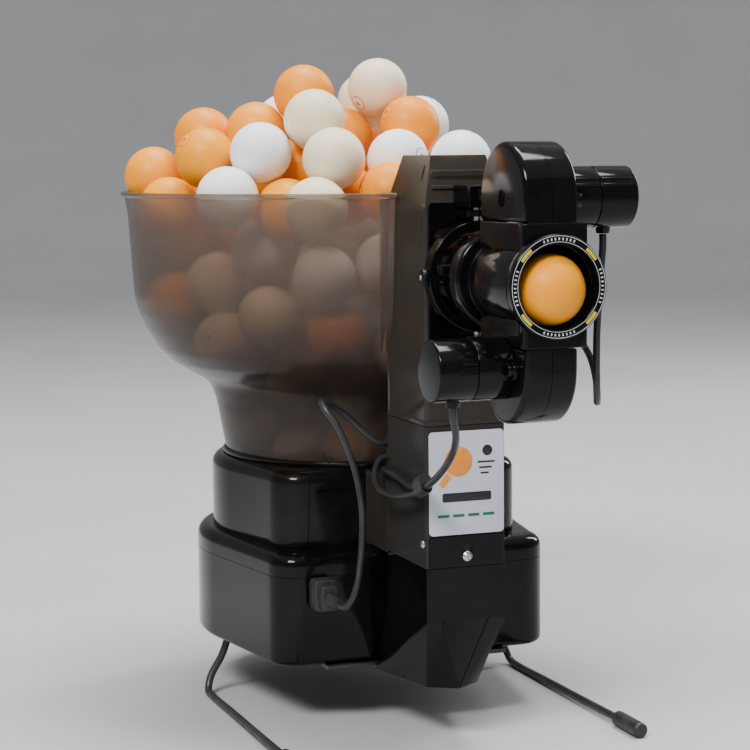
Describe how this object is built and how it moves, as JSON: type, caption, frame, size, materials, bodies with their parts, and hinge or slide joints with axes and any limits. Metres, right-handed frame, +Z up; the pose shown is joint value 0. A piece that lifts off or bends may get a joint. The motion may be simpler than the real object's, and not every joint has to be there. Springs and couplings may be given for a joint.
{
  "type": "table tennis ball machine",
  "caption": "Table-tennis ball machine for a table end: smoky ball hopper on a feed base, narrow tower on a foot, and a swinging two-wheel shooting head.",
  "frame": {"origin": "middle of the foot's flat sole, in the plane of the table top", "axes": "+Z up, the head shoots along -Y, +X to the right seen from behind the nozzle's shooting side"},
  "size_m": [0.316, 0.4957, 0.4295],
  "materials": {
    "gloss_black": "gloss",
    "smoky_black": "gloss",
    "smoky_clear": "gloss, translucent",
    "black_rubber": "satin",
    "wheel_rubber": "matt",
    "bright_steel": "polished",
    "motor_can": "satin",
    "black_steel": "satin",
    "silver_label": "brushed",
    "board": "matt",
    "dark_inner": "satin",
    "natural_plastic": "satin",
    "ball_orange": "satin",
    "ball_mixed": "satin"
  },
  "bodies": {
    "base_unit": {"base_tray": "gloss_black", "base_cover": "gloss_black", "foot": "gloss_black", "front_panel": "gloss_black", "pivot_frame": "gloss_black", "swing_servo": "gloss_black", "feed_collar": "smoky_black", "tower_lower_shell": "smoky_black", "hopper": "smoky_clear", "tower_upper_shell": "smoky_clear", "feed_duct": "smoky_clear", "harness_lead": "black_rubber", "lower_motor_lead": "black_rubber", "branch_lead": "black_rubber", "head_plug": "black_rubber", "lead_splice": "black_rubber", "lead_grommet": "black_rubber", "rod_tip_left": "black_rubber", "rod_tip_right": "black_rubber", "panel_screw": "bright_steel", "side_screw": "bright_steel", "feed_gear_motor": "motor_can", "bracket_plate": "black_steel", "support_rod_left": "black_steel", "support_rod_right": "black_steel", "label_plate": "silver_label", "control_board": "board", "ball_channel": "dark_inner", "head_socket": "dark_inner", "power_inlet": "dark_inner", "control_socket": "dark_inner", "ball_load": "ball_mixed"},
    "feed_rotor_body": {"feed_rotor": "natural_plastic"},
    "gimbal": {"gimbal_ring": "gloss_black", "swing_pin_top": "bright_steel", "swing_pin_bottom": "bright_steel", "tilt_pin_left": "bright_steel", "tilt_pin_right": "bright_steel"},
    "drum": {"tilt_drum": "gloss_black"},
    "head": {"collar_ring": "gloss_black", "barrel": "gloss_black", "nozzle_ring": "gloss_black", "upper_saddle": "gloss_black", "lower_saddle": "gloss_black", "upper_housing_left": "gloss_black", "upper_housing_right": "gloss_black", "lower_housing_left": "gloss_black", "lower_housing_right": "gloss_black", "upper_motor_housing": "gloss_black", "upper_motor_cap": "gloss_black", "lower_motor_housing": "gloss_black", "lower_motor_cap": "gloss_black", "upper_motor": "motor_can", "lower_motor": "motor_can", "upper_motor_lead": "black_rubber"},
    "upper_wheel": {"upper_wheel_hub": "natural_plastic", "upper_wheel_tyre": "wheel_rubber"},
    "lower_wheel": {"lower_wheel_hub": "natural_plastic", "lower_wheel_tyre": "wheel_rubber"},
    "ball_in_nozzle": {"served_ball": "ball_orange"}
  },
  "joints": [
    {"name": "feed_spin", "type": "hinge", "parent": "base_unit", "child": "feed_rotor_body", "pos_m": [0, 0.153, 0.09], "axis": [0, 0, 1], "continuous": true},
    {"name": "head_swing", "type": "hinge", "parent": "base_unit", "child": "gimbal", "pos_m": [0, -0.067, 0.257], "axis": [0, 0, 1], "range_deg": [-18, 18], "deforming": ["lower_motor_lead"]},
    {"name": "head_tilt", "type": "hinge", "parent": "gimbal", "child": "drum", "pos_m": [0, -0.067, 0.257], "axis": [-1, 0, 0], "range_deg": [-10, 15], "deforming": ["lower_motor_lead"]},
    {"name": "head_roll", "type": "hinge", "parent": "drum", "child": "head", "pos_m": [0, -0.067, 0.257], "axis": [0, -1, 0], "range_deg": [-90, 90], "deforming": ["lower_motor_lead"]},
    {"name": "upper_wheel_spin", "type": "hinge", "parent": "head", "child": "upper_wheel", "pos_m": [0, -0.138, 0.304], "axis": [1, 0, 0], "continuous": true},
    {"name": "lower_wheel_spin", "type": "hinge", "parent": "head", "child": "lower_wheel", "pos_m": [0, -0.138, 0.21], "axis": [1, 0, 0], "continuous": true},
    {"name": "ball_shot", "type": "slide", "parent": "head", "child": "ball_in_nozzle", "axis": [0, -1, 0], "range_m": [0, 0.12]}
  ]
}
